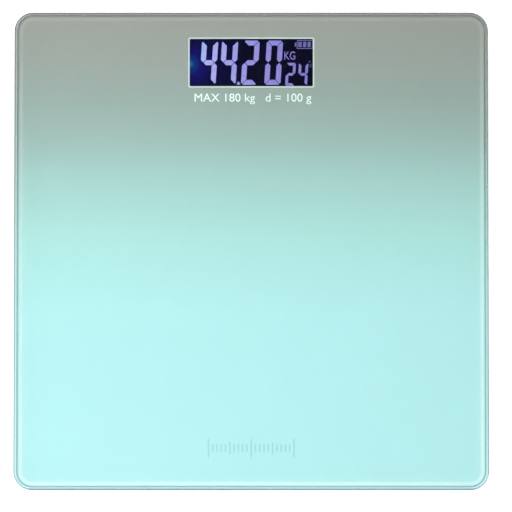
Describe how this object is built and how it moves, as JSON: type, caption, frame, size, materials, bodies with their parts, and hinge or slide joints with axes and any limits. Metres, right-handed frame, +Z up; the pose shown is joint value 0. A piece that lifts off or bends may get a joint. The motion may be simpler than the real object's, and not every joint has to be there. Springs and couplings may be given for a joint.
{
  "type": "digital bathroom scale",
  "caption": "Square glass bathroom scale: rounded tempered-glass platform with a backlit display window, floating load-cell feet, a unit button and a hinged battery cover.",
  "frame": {"origin": "on the floor under the middle of the glass platform", "axes": "+Z up out of the tread surface, +Y towards the display end, +X to the reader's right"},
  "size_m": [0.3, 0.302, 0.025],
  "materials": {
    "platform_glass": "clear tempered glass with a polished round edge",
    "back_print": "ink print, grey fading to aqua",
    "white_shell": "moulded plastic with a fine matt texture",
    "grey_shell": "moulded plastic with a fine matt texture",
    "foot_rubber": "moulded rubber",
    "cell_steel": "stamped steel",
    "gauge_silicone": "white silicone",
    "foam_tape": "white foam tape",
    "foam_black": "black foam",
    "lcd_glass": "dark polarised display glass",
    "display_light": "lit display segment",
    "guide_acrylic": "clear acrylic",
    "holder_white": "white moulded plastic",
    "connector_rubber": "layered silicone",
    "board_laminate": "green solder mask",
    "chip_epoxy": "black epoxy",
    "component_ceramic": "small board components",
    "screw_steel": "plated steel",
    "switch_black": "black moulded plastic",
    "battery_jacket": "printed jacket over a steel can",
    "contact_nickel": "nickel-plated spring steel",
    "wire_pvc": "red, white and black insulation"
  },
  "bodies": {
    "platform": {"backlight_lamp": "display_light", "battery_front": "battery_jacket", "battery_leads": "wire_pvc", "battery_rear": "battery_jacket", "board_parts": "component_ceramic", "board_screws": "screw_steel", "chip_blob": "chip_epoxy", "connector_strip": "connector_rubber", "contact_bridge": "contact_nickel", "contact_negative": "contact_nickel", "contact_positive": "contact_nickel", "display_holder": "holder_white", "display_housing": "white_shell", "duct_front_left": "white_shell", "duct_front_right": "white_shell", "duct_rear_left": "white_shell", "duct_rear_right": "white_shell", "duct_tapes": "foam_tape", "foot_housing_front_left": "white_shell", "foot_housing_front_right": "white_shell", "foot_housing_rear_left": "white_shell", "foot_housing_rear_right": "white_shell", "foot_tape_front_left": "foam_tape", "foot_tape_front_right": "foam_tape", "foot_tape_rear_left": "foam_tape", "foot_tape_rear_right": "foam_tape", "gauge_coat_front_left": "gauge_silicone", "gauge_coat_front_right": "gauge_silicone", "gauge_coat_rear_left": "gauge_silicone", "gauge_coat_rear_right": "gauge_silicone", "glass_platform": "platform_glass", "housing_tape": "foam_tape", "lcd_gasket": "foam_black", "lcd_panel": "lcd_glass", "lead_front_left": "wire_pvc", "lead_front_right": "wire_pvc", "lead_rear_left": "wire_pvc", "lead_rear_right": "wire_pvc", "light_guide": "guide_acrylic", "load_cell_front_left": "cell_steel", "load_cell_front_right": "cell_steel", "load_cell_rear_left": "cell_steel", "load_cell_rear_right": "cell_steel", "main_board": "board_laminate", "printed_backing": "back_print", "unit_switch": "switch_black"},
    "foot_front_left": {"foot_cup_front_left": "grey_shell", "foot_pad_front_left": "foot_rubber"},
    "foot_front_right": {"foot_cup_front_right": "grey_shell", "foot_pad_front_right": "foot_rubber"},
    "foot_rear_left": {"foot_cup_rear_left": "grey_shell", "foot_pad_rear_left": "foot_rubber"},
    "foot_rear_right": {"foot_cup_rear_right": "grey_shell", "foot_pad_rear_right": "foot_rubber"},
    "unit_button": {"unit_button": "grey_shell", "switch_plunger": "switch_black"},
    "battery_cover": {"battery_cover": "white_shell"}
  },
  "joints": [
    {"name": "foot_front_left_drop", "type": "slide", "parent": "platform", "child": "foot_front_left", "axis": [0, 0, -1], "range_m": [0, 0.0008]},
    {"name": "foot_front_right_drop", "type": "slide", "parent": "platform", "child": "foot_front_right", "axis": [0, 0, -1], "range_m": [0, 0.0008]},
    {"name": "foot_rear_left_drop", "type": "slide", "parent": "platform", "child": "foot_rear_left", "axis": [0, 0, -1], "range_m": [0, 0.0008]},
    {"name": "foot_rear_right_drop", "type": "slide", "parent": "platform", "child": "foot_rear_right", "axis": [0, 0, -1], "range_m": [0, 0.0008]},
    {"name": "unit_button_press", "type": "slide", "parent": "platform", "child": "unit_button", "axis": [0, 0, 1], "range_m": [0, 0.0006], "stiffness_N_per_m": 100, "springref_m": -0.0004},
    {"name": "battery_cover_swing", "type": "hinge", "parent": "platform", "child": "battery_cover", "pos_m": [0, 0.0726, 0.0058], "axis": [-1, 0, 0], "range_deg": [0, 80]}
  ]
}
